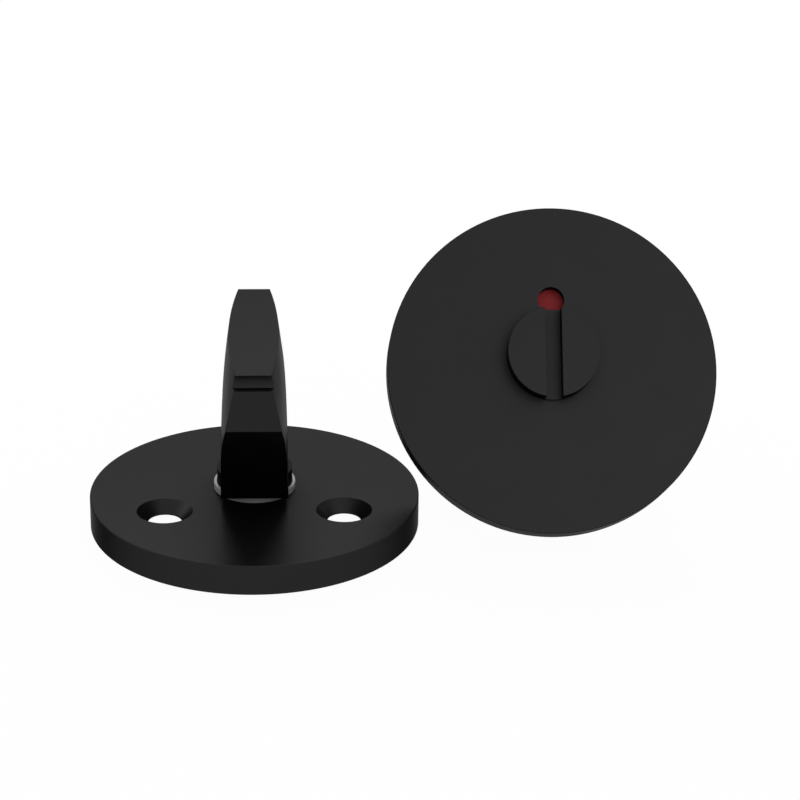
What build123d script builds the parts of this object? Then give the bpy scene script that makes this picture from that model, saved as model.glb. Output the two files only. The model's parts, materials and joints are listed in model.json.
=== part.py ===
from build123d import *
import math
import os

# A bathroom thumb turn and its emergency release, as the two roses of one lock. The inside rose
# lies on its back, and the outside rose leans back on its rim and its two pillars.
# Lengths are in millimetres and angles in degrees. The origin is on the thumb turn's axis, in the
# plane of the inside rose's back. +Z leads out of that rose's face, and +X runs along its screws.

# Roses
rose_radius = 26.0
rose_depth = 4.85
rose_face = 2.0
rose_wall = 1.6
rose_edge = 0.15
axis_offset = 2.25
screw_spacing = 28.0
screw_drop = 9.0

# Screw holes of the inside rose
screw_hole_radius = 2.65
countersink_radius = 4.4
countersink_angle = 90.0

# Thumb turn
grip_length = 36.9
grip_height = 26.3
grip_end_height = 8.6
grip_belly_drop = 6.5
grip_top_end_width = 5.1
grip_top_middle_width = 7.85
grip_shoulder_end_width = 5.85
grip_shoulder_middle_width = 8.38
grip_waist_end_width = 8.56
grip_waist_middle_width = 9.7
grip_belly_end_width = 9.9
grip_belly_middle_width = 10.35
grip_foot_end_width = 10.3
grip_foot_middle_width = 10.7
grip_foot_reach = 7.1
rebate_depth = 1.45
rebate_height = 2.0
rebate_scoop = 0.25
neck_radius = 5.95
neck_height = 3.45
socket_depth = 16.0

# Bush of the thumb turn, which stands a little proud of the rose
bush_wall = 0.45
bush_stand = 1.0
bush_flange_width = 1.0
bush_flange = 0.4

# Stems, with two flats that key the washers
stem_radius = 5.0
stem_across_flats = 8.4
stem_recess = 0.2

# Spring washers, stop washer and retaining rings
stop_washer_thickness = 0.8
stop_lug_angle = 20.0
stop_post_radius = 1.0
bow_washer_thickness = 0.25
bow_washer_height = 0.35
washer_width = 1.9
clip_thickness = 0.6
clip_depth = 0.55
clip_width = 1.5
clip_mouth_angle = 40.0
clip_lug_radius = 1.1
clip_lug_hole_radius = 0.45
quarter_turn = 90.0

# Release hub and its coin slot
hub_radius = 7.2
hub_height = 3.7
slot_width = 2.6
slot_depth = 3.0
stem_reach = 5.0
bearing_boss_radius = 6.3
bearing_boss_height = 0.35

# Indicator
window_radius = 2.1
window_height = 8.85
indicator_depth = 2.5
field_thickness = 0.25
field_angle = 50.0
field_margin = 0.35
disc_thickness = 0.7
disc_margin = 0.7
notch_depth = 3.1
stop_pin_radius = 1.0
stop_pin_seat = 0.9
thin_washer_thickness = 0.25

# Spindle and the screw that holds it
spindle_width = 5.0
spindle_reach = 36.0
spindle_tip = 0.6
spindle_web = 1.5
grub_radius = 1.5
grub_recess_radius = 0.87
grub_recess_depth = 1.2
grub_setback = 2.5
grub_inset = 0.3

# Pillars of the outside rose
pillar_radius = 3.0
pillar_length = 25.0
pillar_spigot_radius = 2.3
pillar_spigot_length = 2.4
pillar_boss_radius = 4.2
pillar_thread_radius = 1.65
pillar_thread_depth = 18.0
pillar_mouth = 0.35

# How the pair stands
pair_pitch = 46.9
release_toe = -9.5

# Clearances
running_fit = 0.05
key_fit = 0.05
play = 0.1
seat_gap = 0.3
stop_clearance_angle = 1.5
spindle_fit = 0.05

# Levels above a rose's back, the same on both roses
inner_face = rose_depth - rose_face
bush_top = rose_depth + bush_stand
neck_top = rose_depth + neck_height
grip_foot = bush_top + play
grip_top = rose_depth + grip_height
grip_waist = grip_top - grip_end_height
grip_belly = grip_waist - grip_belly_drop
rebate_floor = grip_top - rebate_height

# The outside rose leans until its rim and both pillars meet the ground
rim_drop = axis_offset + rose_radius
pillar_drop = screw_drop + pillar_radius
lean = math.atan2(rim_drop - pillar_drop, pillar_length)
release_plane = Plane(
    origin=(
        pair_pitch,
        release_toe + rim_drop * math.sin(lean),
        rim_drop * math.cos(lean),
    ),
    x_dir=(1, 0, 0),
    z_dir=(0, -math.cos(lean), math.sin(lean)),
)
turn_plane = Plane.XY

screw_places = [(-screw_spacing / 2, -screw_drop), (screw_spacing / 2, -screw_drop)]
socket_width = spindle_width + 2 * spindle_fit


with BuildSketch() as keyed_bore:
    Circle(stem_radius + key_fit)
    Rectangle(stem_across_flats + 2 * key_fit, 4 * stem_radius, mode=Mode.INTERSECT)


def direction(angle, radius):
    """A point at an angle, in degrees, and a radius about the turning axis."""
    return (radius * math.cos(math.radians(angle)), radius * math.sin(math.radians(angle)))


def sector(inner, outer, start, end, mode=Mode.ADD):
    """Face of a ring's sector between two angles, in the sketch that is open."""
    middle = (start + end) / 2
    with BuildLine() as outline:
        outside = ThreePointArc(
            direction(start, outer), direction(middle, outer), direction(end, outer)
        )
        inward = Line(outside @ 1, direction(end, inner))
        inside = ThreePointArc(inward @ 1, direction(middle, inner), direction(start, inner))
        Line(inside @ 1, outside @ 0)
    make_face(outline.edges(), mode=mode)


def lens(end_width, middle_width):
    """Face of the grip's plan, which swells from its ends to its middle, in the open sketch."""
    half = grip_length / 2
    with BuildLine() as outline:
        left = ThreePointArc((-end_width / 2, -half), (-middle_width / 2, 0), (-end_width / 2, half))
        far_end = Line(left @ 1, (end_width / 2, half))
        right = ThreePointArc(far_end @ 1, (middle_width / 2, 0), (end_width / 2, -half))
        Line(right @ 1, left @ 0)
    make_face(outline.edges())


def cut_groove(plane, foot):
    """Groove for a retaining ring round a stem, cut from the part that is open."""
    with BuildSketch(plane.offset(foot - running_fit)) as groove:
        Circle(2 * stem_radius)
        Circle(stem_radius - clip_depth, mode=Mode.SUBTRACT)
    extrude(groove.sketch, amount=clip_thickness + 2 * running_fit, mode=Mode.SUBTRACT)


def make_rose(plane):
    """A round rose on its back plane, hollow behind its face, with a crisp front edge."""
    with BuildPart() as rose:
        with BuildSketch(plane):
            with Locations((0, -axis_offset)):
                Circle(rose_radius)
        extrude(amount=rose_depth)
        front = rose.faces().sort_by(Axis(plane.origin, plane.z_dir))[-1]
        fillet(front.edges(), rose_edge)
        with BuildSketch(plane):
            with Locations((0, -axis_offset)):
                Circle(rose_radius - rose_wall)
        extrude(amount=inner_face, mode=Mode.SUBTRACT)
    return rose.part


def make_bow_washer(plane, level):
    """A spring washer bent into one bow, its ends on the given level."""
    bore_radius = stem_radius + play
    outer = bore_radius + washer_width
    rise = bow_washer_height - bow_washer_thickness
    bow_radius = (outer**2 + rise**2) / (2 * rise)
    across = Plane(origin=plane.origin, x_dir=plane.x_dir, z_dir=-plane.y_dir)
    with BuildPart() as washer:
        with BuildSketch(plane.offset(level)):
            Circle(outer)
            Circle(bore_radius, mode=Mode.SUBTRACT)
        extrude(amount=bow_washer_height)
        with BuildSketch(across):
            with Locations((0, level + bow_washer_height - bow_radius)):
                Circle(bow_radius)
                Circle(bow_radius - bow_washer_thickness, mode=Mode.SUBTRACT)
        extrude(amount=rose_radius, both=True, mode=Mode.INTERSECT)
    return washer.part


def make_clip(plane, level):
    """A retaining ring, open at its mouth and with two eyed lugs, on a stem's groove."""
    inner = stem_radius - clip_depth + running_fit
    outer = inner + clip_width
    half_mouth = clip_mouth_angle / 2
    with BuildPart() as clip:
        with BuildSketch(plane.offset(level)):
            sector(inner, outer, half_mouth, 360 - half_mouth)
            lug_turn = math.degrees(math.asin(clip_lug_radius / outer))
            for side in (-1, 1):
                lug = direction(side * (half_mouth + lug_turn), outer)
                with Locations(lug):
                    Circle(clip_lug_radius)
                    Circle(clip_lug_hole_radius, mode=Mode.SUBTRACT)
        extrude(amount=clip_thickness)
    return clip.part


# Inside rose: the plate, countersunk twice, with two posts behind that stop the turn

bush_radius = neck_radius + running_fit + bush_wall
flange_radius = bush_radius + bush_flange_width
stem_top = inner_face - bush_flange
stop_washer_foot = stem_top - running_fit - stop_washer_thickness
turn_clip_foot = stop_washer_foot - bow_washer_height - clip_thickness
post_circle = flange_radius + seat_gap + stop_post_radius
lug_radius = post_circle + stop_post_radius
post_turn = math.degrees(math.asin(stop_post_radius / post_circle)) + stop_clearance_angle
first_post = -stop_lug_angle / 2 - post_turn
last_post = quarter_turn + stop_lug_angle / 2 + post_turn

turn_shell = make_rose(turn_plane)
with BuildPart() as turn_plate:
    add(turn_shell)
    with Locations(turn_plane.offset(rose_depth)):
        Hole(bush_radius)
        with Locations(screw_places):
            CounterSinkHole(
                screw_hole_radius, countersink_radius, counter_sink_angle=countersink_angle
            )
    with BuildSketch(turn_plane.offset(stop_washer_foot)):
        with Locations(direction(first_post, post_circle), direction(last_post, post_circle)):
            Circle(stop_post_radius)
    extrude(amount=inner_face - stop_washer_foot)
turn_plate.part.label = "turn_plate"

with BuildPart() as turn_bush:
    with BuildSketch(turn_plane.offset(inner_face - bush_flange)):
        Circle(flange_radius)
    extrude(amount=bush_flange)
    with BuildSketch(turn_plane.offset(inner_face)):
        Circle(bush_radius)
    extrude(amount=rose_face + bush_stand)
    with Locations(turn_plane.offset(bush_top)):
        Hole(neck_radius + running_fit)
turn_bush.part.label = "turn_bush"

# The thumb turn: a lofted grip, cut to its side outline, on its neck and keyed stem

half_grip = grip_length / 2
rebate_wall = -half_grip + rebate_depth
grip_sections = [
    (grip_foot, grip_foot_end_width, grip_foot_middle_width),
    (grip_belly, grip_belly_end_width, grip_belly_middle_width),
    (grip_waist, grip_waist_end_width, grip_waist_middle_width),
    (rebate_floor, grip_shoulder_end_width, grip_shoulder_middle_width),
    (grip_top, grip_top_end_width, grip_top_middle_width),
]
with BuildPart() as thumb_turn:
    for level, end_width, middle_width in grip_sections:
        with BuildSketch(turn_plane.offset(level)):
            lens(end_width, middle_width)
    loft()
    with BuildSketch(Plane.YZ):
        with BuildLine():
            scoop = ThreePointArc(
                (rebate_wall, rebate_floor),
                (rebate_wall + rebate_scoop, grip_top - rebate_height / 2),
                (rebate_wall, grip_top),
            )
            Polyline(
                scoop @ 1,
                (half_grip, grip_top),
                (half_grip, grip_waist),
                (grip_foot_reach, grip_foot),
                (-grip_foot_reach, grip_foot),
                (-half_grip, grip_waist),
                (-half_grip, rebate_floor),
                scoop @ 0,
            )
        make_face()
    extrude(amount=rose_radius, both=True, mode=Mode.INTERSECT)
    with BuildSketch(turn_plane.offset(stem_top)):
        Circle(neck_radius)
    extrude(amount=neck_top - stem_top)
    with BuildSketch(turn_plane.offset(stem_recess)):
        Circle(stem_radius)
        Rectangle(stem_across_flats, 2 * stem_radius, mode=Mode.INTERSECT)
    extrude(amount=stem_top - stem_recess)
    cut_groove(turn_plane, turn_clip_foot)
    with BuildSketch(turn_plane.offset(stem_recess)):
        Rectangle(socket_width, socket_width)
    extrude(amount=socket_depth, mode=Mode.SUBTRACT)
thumb_turn.part.label = "thumb_turn"

with BuildPart() as turn_stop_washer:
    with BuildSketch(turn_plane.offset(stop_washer_foot)):
        Circle(flange_radius)
        sector(stem_radius, lug_radius, -stop_lug_angle / 2, stop_lug_angle / 2)
        add(keyed_bore.sketch, mode=Mode.SUBTRACT)
    extrude(amount=stop_washer_thickness)
turn_stop_washer.part.label = "turn_stop_washer"

turn_circlip = make_clip(turn_plane, turn_clip_foot)
turn_circlip.label = "turn_circlip"
turn_bow_washer = make_bow_washer(turn_plane, turn_clip_foot + clip_thickness)
turn_bow_washer.label = "turn_bow_washer"

# Outside rose: the plate with its window, bearing boss and blind bosses for the pillars

window_reach = window_height + window_radius
field_outer = window_reach + field_margin
field_inner = window_height - window_radius - field_margin
disc_radius = field_outer + disc_margin
field_top = rose_depth - indicator_depth
disc_top = field_top - field_thickness
disc_foot = disc_top - disc_thickness
pin_circle = disc_radius - notch_depth / 2
pin_angle = -quarter_turn
pin_foot = disc_foot - play
release_washer_foot = disc_foot - thin_washer_thickness
release_clip_foot = release_washer_foot - bow_washer_height - clip_thickness
pin_turn = math.degrees(math.asin(stop_pin_radius / pin_circle)) + stop_clearance_angle

release_shell = make_rose(release_plane)
with BuildPart() as release_plate:
    add(release_shell)
    with BuildSketch(release_plane.offset(inner_face - bearing_boss_height)):
        Circle(bearing_boss_radius)
    extrude(amount=bearing_boss_height)
    with BuildSketch(release_plane):
        with Locations(screw_places):
            Circle(pillar_boss_radius)
    extrude(amount=inner_face)
    with BuildSketch(release_plane):
        with Locations(screw_places):
            Circle(pillar_spigot_radius)
    extrude(amount=pillar_spigot_length, mode=Mode.SUBTRACT)
    with BuildSketch(release_plane.offset(inner_face)):
        with Locations(direction(pin_angle, pin_circle)):
            Circle(stop_pin_radius)
    extrude(amount=stop_pin_seat, mode=Mode.SUBTRACT)
    with Locations(release_plane.offset(rose_depth)):
        Hole(stem_radius + running_fit)
        with Locations((0, window_height)):
            Hole(window_radius)
release_plate.part.label = "release_plate"

with BuildPart() as release_stop_pin:
    with BuildSketch(release_plane.offset(pin_foot)):
        with Locations(direction(pin_angle, pin_circle)):
            Circle(stop_pin_radius)
    extrude(amount=inner_face + stop_pin_seat - pin_foot)
release_stop_pin.part.label = "release_stop_pin"

# The release hub: a slotted head on a keyed stem, with a square socket from behind

head_foot = rose_depth + play
head_top = rose_depth + hub_height
slot_floor = head_top - slot_depth
flats_top = inner_face - bearing_boss_height - play
socket_end = slot_floor - spindle_web
grub_plane = Plane(
    origin=release_plane.from_local_coords((0, spindle_width / 2, -grub_setback)),
    x_dir=release_plane.x_dir,
    z_dir=release_plane.y_dir,
)
with BuildPart() as release_hub:
    with BuildSketch(release_plane.offset(-stem_reach)):
        Circle(stem_radius)
    extrude(amount=stem_reach + head_foot)
    with BuildSketch(release_plane.offset(head_foot)):
        Circle(hub_radius)
    extrude(amount=head_top - head_foot)
    with BuildSketch(release_plane.offset(slot_floor)):
        Rectangle(slot_width, 4 * hub_radius)
    extrude(amount=slot_depth, mode=Mode.SUBTRACT)
    with BuildSketch(release_plane.offset(-stem_reach)):
        Circle(2 * stem_radius)
        Rectangle(stem_across_flats, 4 * stem_radius, mode=Mode.SUBTRACT)
    extrude(amount=stem_reach + flats_top, mode=Mode.SUBTRACT)
    cut_groove(release_plane, release_clip_foot)
    with BuildSketch(release_plane.offset(-stem_reach)):
        Rectangle(socket_width, socket_width)
    extrude(amount=stem_reach + socket_end, mode=Mode.SUBTRACT)
    with BuildSketch(grub_plane.offset(-spindle_width / 2)):
        Circle(grub_radius)
    extrude(amount=2 * stem_radius, mode=Mode.SUBTRACT)
release_hub.part.label = "release_hub"

with BuildPart() as indicator_disc:
    with BuildSketch(release_plane.offset(disc_foot)):
        Circle(disc_radius)
        sector(
            disc_radius - notch_depth,
            disc_radius + notch_depth,
            pin_angle - pin_turn,
            pin_angle + quarter_turn + pin_turn,
            mode=Mode.SUBTRACT,
        )
        add(keyed_bore.sketch, mode=Mode.SUBTRACT)
    extrude(amount=disc_thickness)
indicator_disc.part.label = "indicator_disc"


def make_field(middle_angle):
    """One coloured field of the indicator, a sector that fills the window."""
    with BuildPart() as field:
        with BuildSketch(release_plane.offset(disc_top)):
            start = middle_angle - field_angle / 2
            sector(field_inner, field_outer, start, start + field_angle)
        extrude(amount=field_thickness)
    return field.part


indicator_red = make_field(quarter_turn)
indicator_red.label = "indicator_red"
indicator_white = make_field(2 * quarter_turn)
indicator_white.label = "indicator_white"

with BuildPart() as release_washer:
    with BuildSketch(release_plane.offset(release_washer_foot)):
        Circle(stem_radius + play + washer_width)
        Circle(stem_radius + play, mode=Mode.SUBTRACT)
    extrude(amount=thin_washer_thickness)
release_washer.part.label = "release_washer"

release_circlip = make_clip(release_plane, release_clip_foot)
release_circlip.label = "release_circlip"
release_bow_washer = make_bow_washer(release_plane, release_clip_foot + clip_thickness)
release_bow_washer.label = "release_bow_washer"

# The spindle, held in the hub's socket by its grub screw

with BuildPart() as spindle:
    with BuildSketch(release_plane.offset(-spindle_reach)):
        Rectangle(spindle_width, spindle_width)
    extrude(amount=spindle_reach + socket_end - play)
    tip = spindle.faces().sort_by(Axis(release_plane.origin, release_plane.z_dir))[0]
    chamfer(tip.edges(), spindle_tip)
spindle.part.label = "spindle"

grub_length = stem_radius - spindle_width / 2 - grub_inset
with BuildPart() as spindle_grub_screw:
    with BuildSketch(grub_plane):
        Circle(grub_radius)
    extrude(amount=grub_length)
    with BuildSketch(grub_plane.offset(grub_length)):
        RegularPolygon(grub_recess_radius, 6)
    extrude(amount=-grub_recess_depth, mode=Mode.SUBTRACT)
spindle_grub_screw.part.label = "spindle_grub_screw"

# The pillars that take the bolts from the inside rose


def make_pillar(place, name):
    """A pillar seated in its boss by a spigot, tapped from its far end."""
    with BuildPart() as pillar:
        with BuildSketch(release_plane.offset(-pillar_length)):
            with Locations(place):
                Circle(pillar_radius)
        extrude(amount=pillar_length)
        with BuildSketch(release_plane):
            with Locations(place):
                Circle(pillar_spigot_radius)
        extrude(amount=pillar_spigot_length - play)
        with BuildSketch(release_plane.offset(-pillar_length)):
            with Locations(place):
                Circle(pillar_thread_radius)
        extrude(amount=pillar_thread_depth, mode=Mode.SUBTRACT)
        end = pillar.faces().sort_by(Axis(release_plane.origin, release_plane.z_dir))[0]
        mouth = end.inner_wires()[0]
        chamfer(mouth.edges(), pillar_mouth)
    pillar.part.label = name
    return pillar.part


pillar_left = make_pillar(screw_places[0], "pillar_left")
pillar_right = make_pillar(screw_places[1], "pillar_right")

pieces = [
    turn_plate.part,
    turn_bush.part,
    thumb_turn.part,
    turn_stop_washer.part,
    turn_bow_washer,
    turn_circlip,
    release_plate.part,
    release_stop_pin.part,
    release_hub.part,
    indicator_disc.part,
    indicator_red,
    indicator_white,
    release_washer.part,
    release_bow_washer,
    release_circlip,
    spindle.part,
    spindle_grub_screw.part,
    pillar_left,
    pillar_right,
]
os.makedirs("parts", exist_ok=True)
for piece in pieces:
    export_step(piece, f"parts/{piece.label}.step")
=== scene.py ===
"""Looks, light and camera for a bathroom thumb turn and its emergency release.

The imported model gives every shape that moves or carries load. This script dresses each of its nodes,
cuts the threads that the model leaves plain, adds the marks that casting leaves behind the roses, and
sets up a plain studio. All lengths are in metres, in the model's own frame.
"""

import json
import logging
import math
from dataclasses import dataclass, field, replace
from enum import Enum

import bmesh
import bpy
from mathutils import Matrix, Vector


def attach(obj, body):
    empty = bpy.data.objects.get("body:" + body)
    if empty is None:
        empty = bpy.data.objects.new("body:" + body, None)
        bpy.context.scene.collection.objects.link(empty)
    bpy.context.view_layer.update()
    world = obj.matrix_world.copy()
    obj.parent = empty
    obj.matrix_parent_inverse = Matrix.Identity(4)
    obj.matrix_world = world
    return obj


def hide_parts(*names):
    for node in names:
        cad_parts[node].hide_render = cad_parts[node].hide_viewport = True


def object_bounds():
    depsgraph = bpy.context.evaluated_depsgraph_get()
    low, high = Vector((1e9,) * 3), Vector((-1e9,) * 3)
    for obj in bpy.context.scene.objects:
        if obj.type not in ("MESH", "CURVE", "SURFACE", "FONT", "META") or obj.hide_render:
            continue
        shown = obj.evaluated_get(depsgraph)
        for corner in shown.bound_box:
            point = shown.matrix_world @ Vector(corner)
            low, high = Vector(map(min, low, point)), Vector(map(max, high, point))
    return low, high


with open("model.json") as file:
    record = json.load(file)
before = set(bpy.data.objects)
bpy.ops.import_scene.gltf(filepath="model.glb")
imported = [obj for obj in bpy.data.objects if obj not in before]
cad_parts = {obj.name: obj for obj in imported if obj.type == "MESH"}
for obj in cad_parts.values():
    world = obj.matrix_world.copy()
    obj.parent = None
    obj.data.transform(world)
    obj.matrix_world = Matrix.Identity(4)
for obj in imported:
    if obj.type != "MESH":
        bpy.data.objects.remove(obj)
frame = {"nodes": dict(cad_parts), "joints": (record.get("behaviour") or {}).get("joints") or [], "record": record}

Colour = tuple[float, float, float]
Ring = list[Vector]

CAD_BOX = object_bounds()
LOG = logging.getLogger("scene")
MM = 0.001

# Values that all finishes share
PATCH_SIZE = 9 * MM
PATCH_LAYERS = 2.0
MARK_LAYERS = 3.0
MARK_STRETCH = 0.04
NOISE_SUM_RANGE = (0.7, 1.3)
BEVEL_SAMPLES = 4
FULL_EDGE_MATCH = 0.85
SMOOTH_ANGLE = math.radians(30)


class Grain(Enum):
    """How the fine marks of a finish lie."""

    SPECKLED = "speckled"
    TURNED = "turned"
    DRAWN = "drawn"


class Nodes:
    """Adds shader nodes to one material and links them."""

    def __init__(self, tree: bpy.types.NodeTree) -> None:
        """Keeps the tree that the nodes go into."""
        self.tree = tree

    def add(self, kind: str, **settings: object) -> bpy.types.Node:
        """Adds a node.

        Args:
            kind: Blender's name of the node's type.
            **settings: Properties of the node.

        Returns:
            The new node.
        """
        node = self.tree.nodes.new(kind)
        for key, value in settings.items():
            setattr(node, key, value)
        return node

    def link(self, source: bpy.types.NodeSocket, target: bpy.types.NodeSocket) -> None:
        """Links two sockets."""
        self.tree.links.new(source, target)

    def noise(
        self, place: bpy.types.NodeSocket, scale: float, detail: float
    ) -> bpy.types.NodeSocket:
        """Adds a noise.

        Args:
            place: Where the noise is read.
            scale: Marks per metre.
            detail: Number of finer layers.

        Returns:
            The noise's value, from 0 to 1.
        """
        noise = self.add("ShaderNodeTexNoise")
        noise.inputs["Scale"].default_value = scale
        noise.inputs["Detail"].default_value = detail
        self.link(place, noise.inputs["Vector"])
        return noise.outputs["Fac"]

    def spread(
        self, value: bpy.types.NodeSocket, source: tuple[float, float], target: tuple[float, float]
    ) -> bpy.types.NodeSocket:
        """Maps a value from one range to another.

        Args:
            value: The value.
            source: Range that the value has.
            target: Range that it gets.

        Returns:
            The mapped value.
        """
        spread = self.add("ShaderNodeMapRange")
        spread.inputs["From Min"].default_value = source[0]
        spread.inputs["From Max"].default_value = source[1]
        spread.inputs["To Min"].default_value = target[0]
        spread.inputs["To Max"].default_value = target[1]
        self.link(value, spread.inputs["Value"])
        return spread.outputs["Result"]

    def mix(
        self, share: bpy.types.NodeSocket, first: Colour | bpy.types.NodeSocket, second: Colour
    ) -> bpy.types.NodeSocket:
        """Mixes two colours.

        Args:
            share: Share of the second colour.
            first: First colour, or a socket that gives it.
            second: Second colour.

        Returns:
            The mixed colour.
        """
        mix = self.add("ShaderNodeMix", data_type="RGBA")
        ends = [socket for socket in mix.inputs if socket.type == "RGBA"]
        if isinstance(first, tuple):
            ends[0].default_value = (*first, 1)
        else:
            self.link(first, ends[0])
        ends[1].default_value = (*second, 1)
        self.link(share, mix.inputs["Factor"])
        return next(socket for socket in mix.outputs if socket.type == "RGBA")


@dataclass(frozen=True)
class Finish:
    """A finish with colour, gloss and fine relief, worked out by nodes.

    Attributes:
        name: Name of the material.
        slot: The record's material slot; not used.
        colour: Mean colour, linear.
        tint: Colour of the slow patches that vary it, linear.
        painted_edge_highlight: Lighter colour painted along sharp edges as a highlight, linear.
        roughness: Lowest and highest roughness.
        metallic: 0 for a plastic or an enamel, 1 for bare metal and for a coat that is all gloss.
        specular: Specular level of the shader.
        glance: Tint of the gloss at a low angle.
        grain: How the fine marks lie.
        grain_size: Size of one fine mark.
        relief: Height of the fine marks.
        edge_radius: Radius by which the shader softens an edge.
        painted_highlight_share: Share of the painted edge highlight's colour on a sharp edge.
        axis: Direction in which drawn marks run and round which turned ones do.
        centre: A point on the axis of turned marks.
    """

    name: str
    slot: str
    colour: Colour
    tint: Colour
    painted_edge_highlight: Colour
    roughness: tuple[float, float]
    metallic: float = 0.0
    specular: float = 0.5
    glance: Colour = (1.0, 1.0, 1.0)
    grain: Grain = Grain.SPECKLED
    grain_size: float = 0.2 * MM
    relief: float = 0.004 * MM
    edge_radius: float = 0.1 * MM
    painted_highlight_share: float = 0.6
    axis: tuple[float, float, float] = (0.0, 0.0, 1.0)
    centre: tuple[float, float, float] = (0.0, 0.0, 0.0)

    def material(self) -> bpy.types.Material:
        """Makes the material.

        Returns:
            The new material, with all its nodes.
        """
        made = bpy.data.materials.new(self.name)
        made.use_nodes = True
        nodes = Nodes(made.node_tree)
        shader = made.node_tree.nodes["Principled BSDF"]
        shader.inputs["Metallic"].default_value = self.metallic
        shader.inputs["Specular IOR Level"].default_value = self.specular
        shader.inputs["Specular Tint"].default_value = (*self.glance, 1)
        place = nodes.add("ShaderNodeTexCoord").outputs["Object"]
        fine = nodes.noise(self._marks(nodes, place), 1 / self.grain_size, MARK_LAYERS)
        slow = nodes.noise(place, 1 / PATCH_SIZE, PATCH_LAYERS)
        patches = nodes.mix(slow, self.colour, self.tint)
        # The sharp edges get a lighter colour here: a painted highlight.
        colour = nodes.mix(self._edge(nodes), patches, self.painted_edge_highlight)
        nodes.link(colour, shader.inputs["Base Color"])
        nodes.link(self._gloss(nodes, fine, slow), shader.inputs["Roughness"])
        nodes.link(self._normal(nodes, fine), shader.inputs["Normal"])
        return made

    def _marks(self, nodes: Nodes, place: bpy.types.NodeSocket) -> bpy.types.NodeSocket:
        """Stretches a place along the fine marks.

        Args:
            nodes: Nodes of the material.
            place: The place on the piece.

        Returns:
            The place that the fine noise is read from.
        """
        if self.grain is Grain.SPECKLED:
            return place
        turn = Vector(self.axis).rotation_difference(Vector((0, 0, 1))).to_matrix()
        mapping = nodes.add("ShaderNodeMapping")
        mapping.inputs["Rotation"].default_value = turn.to_euler()
        mapping.inputs["Location"].default_value = -(turn @ Vector(self.centre))
        nodes.link(place, mapping.inputs["Vector"])
        if self.grain is Grain.DRAWN:
            shrink = nodes.add("ShaderNodeVectorMath", operation="MULTIPLY")
            shrink.inputs[1].default_value = (1, 1, MARK_STRETCH)
            nodes.link(mapping.outputs["Vector"], shrink.inputs[0])
            return shrink.outputs["Vector"]
        return self._rings(nodes, mapping.outputs["Vector"])

    def _rings(self, nodes: Nodes, place: bpy.types.NodeSocket) -> bpy.types.NodeSocket:
        """Turns a place into its radius and height, so that marks run round the axis.

        Args:
            nodes: Nodes of the material.
            place: The place, with the axis along Z.

        Returns:
            The radius and the height as a vector.
        """
        flat = nodes.add("ShaderNodeVectorMath", operation="MULTIPLY")
        flat.inputs[1].default_value = (1, 1, 0)
        length = nodes.add("ShaderNodeVectorMath", operation="LENGTH")
        parts = nodes.add("ShaderNodeSeparateXYZ")
        joined = nodes.add("ShaderNodeCombineXYZ")
        nodes.link(place, flat.inputs[0])
        nodes.link(flat.outputs["Vector"], length.inputs[0])
        nodes.link(place, parts.inputs["Vector"])
        nodes.link(length.outputs["Value"], joined.inputs["X"])
        nodes.link(parts.outputs["Z"], joined.inputs["Z"])
        return joined.outputs["Vector"]

    def _soft_normal(self, nodes: Nodes) -> bpy.types.NodeSocket:
        """Returns the surface's normal, rounded at its edges."""
        bevel = nodes.add("ShaderNodeBevel", samples=BEVEL_SAMPLES)
        bevel.inputs["Radius"].default_value = self.edge_radius
        return bevel.outputs["Normal"]

    def _edge(self, nodes: Nodes) -> bpy.types.NodeSocket:
        """Finds the sharp edges, where a rounded normal parts from the true one, for the painted edge highlight.

        Args:
            nodes: Nodes of the material.

        Returns:
            A mask that is 0 on flat faces and rises at an edge.
        """
        true = nodes.add("ShaderNodeNewGeometry")
        match = nodes.add("ShaderNodeVectorMath", operation="DOT_PRODUCT")
        nodes.link(self._soft_normal(nodes), match.inputs[0])
        nodes.link(true.outputs["Normal"], match.inputs[1])
        return nodes.spread(match.outputs["Value"], (1, FULL_EDGE_MATCH), (0, self.painted_highlight_share))

    def _gloss(
        self, nodes: Nodes, fine: bpy.types.NodeSocket, slow: bpy.types.NodeSocket
    ) -> bpy.types.NodeSocket:
        """Varies the roughness with the fine marks and the slow patches.

        Args:
            nodes: Nodes of the material.
            fine: Noise of the fine marks.
            slow: Noise of the patches.

        Returns:
            The roughness.
        """
        both = nodes.add("ShaderNodeMath", operation="ADD")
        nodes.link(fine, both.inputs[0])
        nodes.link(slow, both.inputs[1])
        return nodes.spread(both.outputs["Value"], NOISE_SUM_RANGE, self.roughness)

    def _normal(self, nodes: Nodes, fine: bpy.types.NodeSocket) -> bpy.types.NodeSocket:
        """Raises the fine marks on the rounded normal.

        Args:
            nodes: Nodes of the material.
            fine: Noise of the fine marks.

        Returns:
            The normal.
        """
        bump = nodes.add("ShaderNodeBump")
        bump.inputs["Distance"].default_value = self.relief
        nodes.link(fine, bump.inputs["Height"])
        nodes.link(self._soft_normal(nodes), bump.inputs["Normal"])
        return bump.outputs["Normal"]


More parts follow.
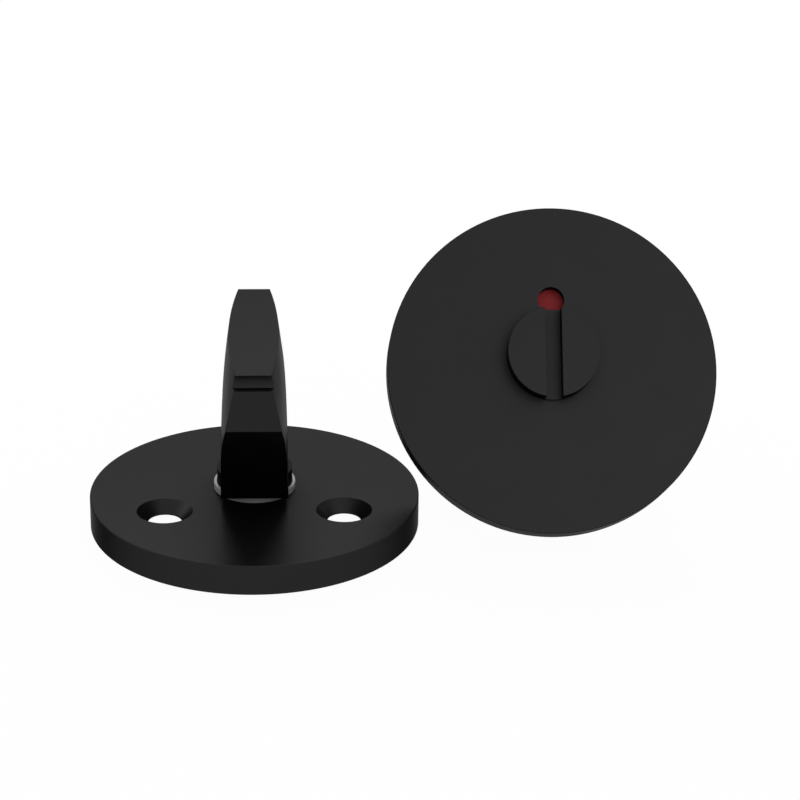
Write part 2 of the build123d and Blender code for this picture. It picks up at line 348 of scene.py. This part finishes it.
POWDER_COAT = Finish(
    name="black_powder_coat",
    slot="black_coat",
    colour=(0.0208, 0.0208, 0.0208),
    tint=(0.0231, 0.0231, 0.0231),
    painted_edge_highlight=(0.0272, 0.0272, 0.0272),
    roughness=(0.4, 0.48),
    metallic=1.0,
    glance=(0.37, 0.37, 0.37),
    grain_size=0.16 * MM,
    relief=0.004 * MM,
    edge_radius=0.12 * MM,
    painted_highlight_share=0.5,
)
NYLON = Finish(
    name="natural_nylon",
    slot="nylon",
    colour=(0.23, 0.23, 0.225),
    tint=(0.195, 0.195, 0.19),
    painted_edge_highlight=(0.27, 0.27, 0.265),
    roughness=(0.4, 0.55),
    grain=Grain.TURNED,
    grain_size=0.08 * MM,
    relief=0.003 * MM,
)
ZINC_PLATE = Finish(
    name="zinc_plate",
    slot="plated_steel",
    colour=(0.62, 0.63, 0.64),
    tint=(0.52, 0.52, 0.5),
    painted_edge_highlight=(0.7, 0.7, 0.69),
    roughness=(0.3, 0.44),
    metallic=1.0,
    grain_size=0.25 * MM,
    relief=0.003 * MM,
)
SPRING_STEEL = Finish(
    name="oiled_spring_steel",
    slot="spring_steel",
    colour=(0.16, 0.16, 0.17),
    tint=(0.11, 0.105, 0.1),
    painted_edge_highlight=(0.4, 0.4, 0.4),
    roughness=(0.3, 0.42),
    metallic=1.0,
    grain_size=0.12 * MM,
    relief=0.002 * MM,
)
RED_ENAMEL = Finish(
    name="red_enamel",
    slot="red_field",
    colour=(0.48, 0.0265, 0.03),
    tint=(0.43, 0.022, 0.026),
    painted_edge_highlight=(0.51, 0.041, 0.046),
    roughness=(0.45, 0.55),
    specular=0.2,
    grain_size=0.12 * MM,
    relief=0.002 * MM,
)
WHITE_ENAMEL = Finish(
    name="white_enamel",
    slot="white_field",
    colour=(0.8, 0.8, 0.78),
    tint=(0.75, 0.75, 0.72),
    painted_edge_highlight=(0.82, 0.82, 0.8),
    roughness=(0.45, 0.55),
    grain_size=0.12 * MM,
    relief=0.002 * MM,
)


class Palette:
    """Makes each finish's material once and gives it out."""

    def __init__(self) -> None:
        """Starts with no material."""
        self._made: dict[Finish, bpy.types.Material] = {}

    def give(self, piece: bpy.types.Object, finish: Finish) -> bpy.types.Object:
        """Dresses a piece.

        Args:
            piece: The piece, whose material slots are cleared first.
            finish: The finish that it gets.

        Returns:
            The same piece.
        """
        if finish not in self._made:
            self._made[finish] = finish.material()
        piece.data.materials.clear()
        piece.data.materials.append(self._made[finish])
        return piece


def surface(name: str, rings: list[Ring], place: Matrix) -> bpy.types.Object:
    """Makes a closed piece from rings of points, one after the other.

    Args:
        name: Name of the piece.
        rings: The rings, all with the same number of points; the first and last are capped.
        place: Matrix from the rings' own axes to the model's frame.

    Returns:
        The new piece.
    """
    body = bmesh.new()
    rows = [[body.verts.new(place @ point) for point in ring] for ring in rings]
    count = len(rows[0])
    for low, high in zip(rows, rows[1:]):
        for i in range(count):
            after = (i + 1) % count
            body.faces.new((low[i], low[after], high[after], high[i]))
    body.faces.new(rows[0])
    body.faces.new(rows[-1])
    bmesh.ops.recalc_face_normals(body, faces=body.faces)
    mesh = bpy.data.meshes.new(name)
    body.to_mesh(mesh)
    body.free()
    mesh.shade_smooth()
    mesh.set_sharp_from_angle(angle=SMOOTH_ANGLE)
    piece = bpy.data.objects.new(name, mesh)
    bpy.context.scene.collection.objects.link(piece)
    return piece


def circle(radius: float, height: float, count: int, centre: tuple[float, float] = (0, 0)) -> Ring:
    """Returns the points of a circle at a height.

    Args:
        radius: Radius of the circle.
        height: Height of its plane.
        count: Number of points.
        centre: Its middle, across the height.

    Returns:
        The points in order.
    """
    turns = (math.tau * i / count for i in range(count))
    return [
        Vector((centre[0] + radius * math.cos(t), centre[1] + radius * math.sin(t), height))
        for t in turns
    ]


@dataclass
class Rose:
    """One rose with what it carries, on its own plane.

    Attributes:
        plate: CAD node of the plate.
        place: Matrix from the rose's own axes, with Z out of its face, to the model's frame.
        finishes: Finish of each CAD node.
        palette: Where the materials come from.
        offset: How far the plate's middle lies below the turning axis.
        face_level: Level of the inner face above the back.
        mark_circle: Radius of the circle of ejector marks.
        mark_radius: Radius of one mark.
        mark_height: How proud a mark stands.
        mark_dish: Radii of the dish in a mark at its edge and at its floor, as shares of the mark's.
        mark_points: Points round a mark.
        mark_turns: Angles of the marks, in degrees.
        body: CAD body that the plate belongs to.
    """

    plate: str
    place: Matrix
    finishes: dict[str, Finish]
    palette: Palette
    offset: float = 2.25 * MM
    face_level: float = 2.85 * MM
    mark_circle: float = 21.5 * MM
    mark_radius: float = 1.2 * MM
    mark_height: float = 0.06 * MM
    mark_dish: tuple[float, float] = (0.8, 0.75)
    mark_points: int = 40
    mark_turns: tuple[float, ...] = (40.0, 140.0, 220.0, 320.0)
    body: str = "roses"

    def build(self) -> list[bpy.types.Object]:
        """Dresses the rose and adds its marks.

        Returns:
            All its pieces.
        """
        return self.dress() + self.ejector_marks()

    def dress(self) -> list[bpy.types.Object]:
        """Gives each CAD node of the rose its finish.

        Returns:
            The nodes.
        """
        nodes = frame["nodes"]
        return [self.palette.give(nodes[node], finish) for node, finish in self.finishes.items()]

    def ejector_marks(self) -> list[bpy.types.Object]:
        """Adds the round marks that the die's ejector pins leave inside the plate.

        Returns:
            The marks.
        """
        return [self._mark(i, turn) for i, turn in enumerate(self.mark_turns, start=1)]

    def _mark(self, number: int, turn: float) -> bpy.types.Object:
        """Makes one ejector mark, with a rim that slopes into the face.

        Args:
            number: Its number.
            turn: Its angle about the plate's middle, in degrees.

        Returns:
            The mark.
        """
        angle = math.radians(turn)
        middle = (
            self.mark_circle * math.cos(angle),
            self.mark_circle * math.sin(angle) - self.offset,
        )
        profile = (
            (self.mark_radius, self.face_level + self.mark_height),
            (self.mark_radius, self.face_level),
            (self.mark_radius - self.mark_height, self.face_level - self.mark_height),
            (self.mark_radius * self.mark_dish[0], self.face_level - self.mark_height),
            (self.mark_radius * self.mark_dish[1], self.face_level - self.mark_height / 2),
        )
        rings = [circle(radius, height, self.mark_points, middle) for radius, height in profile]
        mark = surface(f"{self.plate}_ejector_mark_{number}", rings, self.place)
        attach(mark, self.body)
        return self.palette.give(mark, POWDER_COAT)


@dataclass
class OutsideRose(Rose):
    """The rose with the release, its spindle and its two threaded pillars.

    Attributes:
        pillars: Each pillar's CAD node, with the mount of its thread.
        pillar_length: Length of a pillar behind the plate.
        pillar_radius: Radius of a pillar.
        pillar_chamfer: Chamfer round a pillar's end.
        spigot_radius: Radius of the spigot in the plate's boss.
        spigot_length: Length of the spigot.
        mouth_depth: Depth of the countersink at the thread's mouth.
        drill_angle: Slope of the bore's conical end.
        drill_tip: Radius of that end's tip, as a share of the bore's.
        thread_pitch: Pitch of the thread.
        thread_depth: Depth of the thread's groove.
        thread_steps: Rings in one pitch.
        thread_flank: Half the groove's width, in pitches.
        thread_fill: How far the flanks rise past the depth, which flattens the groove's floor.
        thread_fade: Pitches in which the groove fades out.
        points: Points in one ring.
        drawn_relief: Height of the marks along the spindle.
        turned_grain: Size of the marks round a pillar.
    """

    pillars: dict[str, str] = field(default_factory=dict)
    pillar_length: float = 25.0 * MM
    pillar_radius: float = 3.0 * MM
    pillar_chamfer: float = 0.15 * MM
    spigot_radius: float = 2.3 * MM
    spigot_length: float = 2.3 * MM
    mouth_depth: float = 0.35 * MM
    drill_angle: float = math.radians(31)
    drill_tip: float = 0.02
    thread_pitch: float = 0.7 * MM
    thread_depth: float = 0.35 * MM
    thread_steps: int = 10
    thread_flank: float = 0.44
    thread_fill: float = 1.15
    thread_fade: float = 2.0
    points: int = 60
    drawn_relief: float = 0.004 * MM
    turned_grain: float = 0.14 * MM

    def build(self) -> list[bpy.types.Object]:
        """Dresses the rose, adds its marks and threads its pillars.

        Returns:
            All its pieces.
        """
        return super().build() + self.threaded_pillars()

    def dress(self) -> list[bpy.types.Object]:
        """Gives each node its finish, with marks along the spindle and round each pillar.

        Returns:
            The nodes.
        """
        axis = tuple(self.place.col[2].xyz)
        plain = self.finishes["spindle"]
        self.finishes["spindle"] = replace(
            plain,
            name=f"drawn_{plain.name}",
            grain=Grain.DRAWN,
            relief=self.drawn_relief,
            axis=axis,
        )
        for node, mount in self.pillars.items():
            plain = self.finishes[node]
            self.finishes[node] = replace(
                plain,
                name=f"turned_{plain.name}_{node}",
                grain=Grain.TURNED,
                grain_size=self.turned_grain,
                axis=axis,
                centre=tuple(self._mount(mount)["pos_m"]),
            )
        return super().dress()

    def threaded_pillars(self) -> list[bpy.types.Object]:
        """Replaces the plain pillars with threaded ones.

        Returns:
            The pillars.
        """
        return [self._pillar(node, self._mount(mount)) for node, mount in self.pillars.items()]

    def _mount(self, name: str) -> dict:
        """Returns the record's mount of that name."""
        return next(mount for mount in frame["record"]["mounts"] if mount["name"] == name)

    def _pillar(self, node: str, mount: dict) -> bpy.types.Object:
        """Makes one pillar.

        Args:
            node: CAD node that it stands for.
            mount: The record's mount of its thread.

        Returns:
            The pillar.
        """
        bore = mount["dims"]["r_mm"] * MM
        depth = mount["dims"]["length_mm"] * MM
        middle = self.place.inverted() @ Vector(mount["pos_m"])
        end = -self.pillar_length
        outside = (
            (self.spigot_radius, self.spigot_length),
            (self.spigot_radius, 0),
            (self.pillar_radius, 0),
            (self.pillar_radius, end + self.pillar_chamfer),
            (self.pillar_radius - self.pillar_chamfer, end),
            (bore + self.mouth_depth, end),
        )
        rings = [circle(radius, height, self.points) for radius, height in outside]
        start = end + self.mouth_depth
        rings += self._thread(bore, start, depth)
        rings.append(circle(bore, start + depth, self.points))
        tip = start + depth + bore * math.tan(self.drill_angle)
        rings.append(circle(bore * self.drill_tip, tip, self.points))
        shift = Matrix.Translation((middle.x, middle.y, 0))
        piece = surface(f"{node}_threaded", rings, self.place @ shift)
        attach(piece, self.body)
        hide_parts(node)
        return self.palette.give(piece, self.finishes[node])

    def _thread(self, bore: float, start: float, depth: float) -> list[Ring]:
        """Returns the rings of a threaded bore, whose groove fades out at its end.

        Args:
            bore: Radius of the thread's crests.
            start: Height of its first ring.
            depth: Length of the thread.

        Returns:
            The rings.
        """
        rings = []
        step = self.thread_pitch / self.thread_steps
        for row in range(int(depth / step)):
            height = start + row * step
            left = min(1.0, (depth - row * step) / (self.thread_fade * self.thread_pitch))
            ring = circle(1.0, height, self.points)
            for i, point in enumerate(ring):
                turn = (row / self.thread_steps - i / self.points) % 1.0
                flank = max(0.0, 1 - abs(turn - 0.5) / self.thread_flank)
                groove = min(1.0, flank * self.thread_fill)
                point.xy *= bore + self.thread_depth * left * groove
            rings.append(ring)
        return rings


@dataclass(frozen=True)
class Softbox:
    """A rectangular lamp that points at the object.

    Attributes:
        name: Its name.
        azimuth: Where it stands, 0 in front of the object and 90 to its right, in degrees.
        elevation: Its height above the floor, in degrees.
        distance: Its distance from the object.
        width: Its width.
        height: Its height.
        power: Its power in watts.
    """

    name: str
    azimuth: float
    elevation: float
    distance: float
    width: float
    height: float
    power: float

    def build(self, target: Vector) -> bpy.types.Object:
        """Adds the lamp.

        Args:
            target: Point that it faces.

        Returns:
            The lamp.
        """
        data = bpy.data.lights.new(self.name, "AREA")
        data.shape = "RECTANGLE"
        data.size = self.width
        data.size_y = self.height
        data.energy = self.power
        lamp = bpy.data.objects.new(self.name, data)
        turn = math.radians(self.azimuth)
        rise = math.radians(self.elevation)
        away = Vector(
            (math.sin(turn) * math.cos(rise), -math.cos(turn) * math.cos(rise), math.sin(rise))
        )
        lamp.location = target + self.distance * away
        lamp.rotation_euler = away.to_track_quat("Z", "Y").to_euler()
        bpy.context.scene.collection.objects.link(lamp)
        return lamp


@dataclass
class Studio:
    """A pale floor under a pale sky, with soft lamps.

    Attributes:
        lamps: The lamps.
        ambient: Strength of the sky's light.
        floor_size: Width of the floor.
        floor_drop: How far the floor lies under the object.
        floor_colour: The floor's colour.
        floor_glow: Share of plain white that the camera and the reflections see on the floor.
    """

    lamps: tuple[Softbox, ...]
    ambient: float = 0.5
    floor_size: float = 6.0
    floor_drop: float = 0.02 * MM
    floor_colour: Colour = (0.9, 0.9, 0.9)
    floor_glow: float = 0.965

    def build(self) -> list[bpy.types.Object]:
        """Adds the sky, the floor and the lamps.

        Returns:
            The floor and the lamps.
        """
        self._sky()
        target = (CAD_BOX[0] + CAD_BOX[1]) / 2
        return [self._floor(), *(lamp.build(target) for lamp in self.lamps)]

    def _seen(self, nodes: Nodes) -> bpy.types.NodeSocket:
        """Finds the rays that show the background: the camera's, reflected and transmitted ones.

        Args:
            nodes: Nodes of the sky or the floor.

        Returns:
            1 for such a ray and 0 for one that only brings light.
        """
        path = nodes.add("ShaderNodeLightPath")
        most = nodes.add("ShaderNodeMath", operation="MAXIMUM")
        every = nodes.add("ShaderNodeMath", operation="MAXIMUM")
        nodes.link(path.outputs["Is Camera Ray"], most.inputs[0])
        nodes.link(path.outputs["Is Glossy Ray"], most.inputs[1])
        nodes.link(most.outputs["Value"], every.inputs[0])
        nodes.link(path.outputs["Is Transmission Ray"], every.inputs[1])
        return every.outputs["Value"]

    def _sky(self) -> None:
        """Makes the world white to the eye and dimmer as a light."""
        world = bpy.data.worlds.new("sky")
        world.use_nodes = True
        nodes = Nodes(world.node_tree)
        background = world.node_tree.nodes["Background"]
        background.inputs["Color"].default_value = (1, 1, 1, 1)
        strength = nodes.spread(self._seen(nodes), (0, 1), (self.ambient, 1))
        nodes.link(strength, background.inputs["Strength"])
        bpy.context.scene.world = world

    def _floor(self) -> bpy.types.Object:
        """Adds the floor, which keeps a light shadow.

        Returns:
            The floor.
        """
        half = self.floor_size / 2
        body = bmesh.new()
        corners = ((-half, -half), (half, -half), (half, half), (-half, half))
        body.faces.new([body.verts.new((x, y, -self.floor_drop)) for x, y in corners])
        mesh = bpy.data.meshes.new("floor")
        body.to_mesh(mesh)
        body.free()
        floor = bpy.data.objects.new("floor", mesh)
        bpy.context.scene.collection.objects.link(floor)
        mesh.materials.append(self._floor_material())
        return floor

    def _floor_material(self) -> bpy.types.Material:
        """Makes the floor's material, most of it plain white to the eye.

        Returns:
            The material.
        """
        made = bpy.data.materials.new("floor")
        made.use_nodes = True
        tree = made.node_tree
        nodes = Nodes(tree)
        tree.nodes.remove(tree.nodes["Principled BSDF"])
        matt = nodes.add("ShaderNodeBsdfDiffuse")
        matt.inputs["Color"].default_value = (*self.floor_colour, 1)
        glow = nodes.add("ShaderNodeEmission")
        share = nodes.spread(self._seen(nodes), (0, 1), (0, self.floor_glow))
        both = nodes.add("ShaderNodeMixShader")
        nodes.link(share, both.inputs["Fac"])
        nodes.link(matt.outputs["BSDF"], both.inputs[1])
        nodes.link(glow.outputs["Emission"], both.inputs[2])
        nodes.link(both.outputs["Shader"], tree.nodes["Material Output"].inputs["Surface"])
        return made


@dataclass(frozen=True)
class Viewpoint:
    """The camera, fitted to the photograph.

    Attributes:
        place: Where it stands.
        heading: Turn to the right of straight ahead, in degrees.
        pitch: How far it looks down, in degrees.
        roll: Its roll, in degrees.
        focal_pixels: Its focal length in the photograph's pixels.
        picture_width: The photograph's width in pixels.
        sensor: Sensor width in millimetres.
        clip: Nearest and farthest distance that the camera sees.
    """

    place: tuple[float, float, float] = (0.00287, -0.41044, 0.19987)
    heading: float = 2.8
    pitch: float = 23.69
    roll: float = 0.832
    focal_pixels: float = 2850.0
    picture_width: float = 800.0
    sensor: float = 36.0
    clip: tuple[float, float] = (0.01, 50.0)

    def build(self) -> list[bpy.types.Object]:
        """Adds the camera and makes it the scene's.

        Returns:
            The camera, alone in a list.
        """
        data = bpy.data.cameras.new("camera")
        data.sensor_width = self.sensor
        data.lens = self.focal_pixels / self.picture_width * self.sensor
        data.clip_start, data.clip_end = self.clip
        camera = bpy.data.objects.new("camera", data)
        camera.matrix_world = Matrix.Translation(self.place) @ self._turn().to_4x4()
        bpy.context.scene.collection.objects.link(camera)
        bpy.context.scene.camera = camera
        return [camera]

    def _turn(self) -> Matrix:
        """Returns the camera's rotation from its heading, pitch and roll."""
        heading = Matrix.Rotation(math.radians(-self.heading), 3, "Z")
        pitch = Matrix.Rotation(math.radians(90 - self.pitch), 3, "X")
        roll = Matrix.Rotation(math.radians(self.roll), 3, "Z")
        return heading @ pitch @ roll


LAMPS = (
    Softbox("key", azimuth=180, elevation=37, distance=0.8, width=0.5, height=0.3, power=3.3),
    Softbox("fill", azimuth=24, elevation=34, distance=0.8, width=0.4, height=0.4, power=0.64),
    Softbox("left", azimuth=-105, elevation=18, distance=0.8, width=0.5, height=0.4, power=1.5),
    Softbox("right", azimuth=105, elevation=18, distance=0.8, width=0.5, height=0.4, power=1.5),
)


def rose_place(joint_name: str) -> Matrix:
    """Returns the matrix of a rose from the hinge that stands on its back plane.

    Args:
        joint_name: Name of the hinge.

    Returns:
        Matrix whose Z leads out of the rose's face and whose X is the model's.
    """
    joint = next(joint for joint in frame["joints"] if joint["name"] == joint_name)
    out = Vector(joint["axis"]).normalized()
    across = Vector((1, 0, 0))
    turned = Matrix((across, out.cross(across), out)).transposed()
    return Matrix.Translation(joint["pos_m"]) @ turned.to_4x4()


def main() -> None:
    """Dresses both roses, sets up the studio and the camera, and reports each piece."""
    logging.basicConfig(level=logging.INFO, format="%(name)s: %(message)s")
    bpy.context.scene.view_settings.view_transform = "Standard"
    palette = Palette()
    inside = Rose(
        plate="turn_plate",
        place=rose_place("thumb_turn_hinge"),
        palette=palette,
        finishes={
            "turn_plate": POWDER_COAT,
            "thumb_turn": POWDER_COAT,
            "turn_bush": NYLON,
            "turn_stop_washer": ZINC_PLATE,
            "turn_bow_washer": SPRING_STEEL,
            "turn_circlip": SPRING_STEEL,
        },
    )
    outside = OutsideRose(
        plate="release_plate",
        place=rose_place("release_hinge"),
        palette=palette,
        finishes={
            "release_plate": POWDER_COAT,
            "release_hub": POWDER_COAT,
            "release_stop_pin": ZINC_PLATE,
            "indicator_disc": ZINC_PLATE,
            "indicator_red": RED_ENAMEL,
            "indicator_white": WHITE_ENAMEL,
            "release_washer": ZINC_PLATE,
            "release_bow_washer": SPRING_STEEL,
            "release_circlip": SPRING_STEEL,
            "spindle": ZINC_PLATE,
            "spindle_grub_screw": SPRING_STEEL,
            "pillar_left": ZINC_PLATE,
            "pillar_right": ZINC_PLATE,
        },
        pillars={"pillar_left": "pillar_thread_left", "pillar_right": "pillar_thread_right"},
    )
    for part in (inside, outside, Studio(lamps=LAMPS), Viewpoint()):
        for piece in part.build():
            LOG.info("%s", piece.name)


if __name__ == "__main__":
    main()
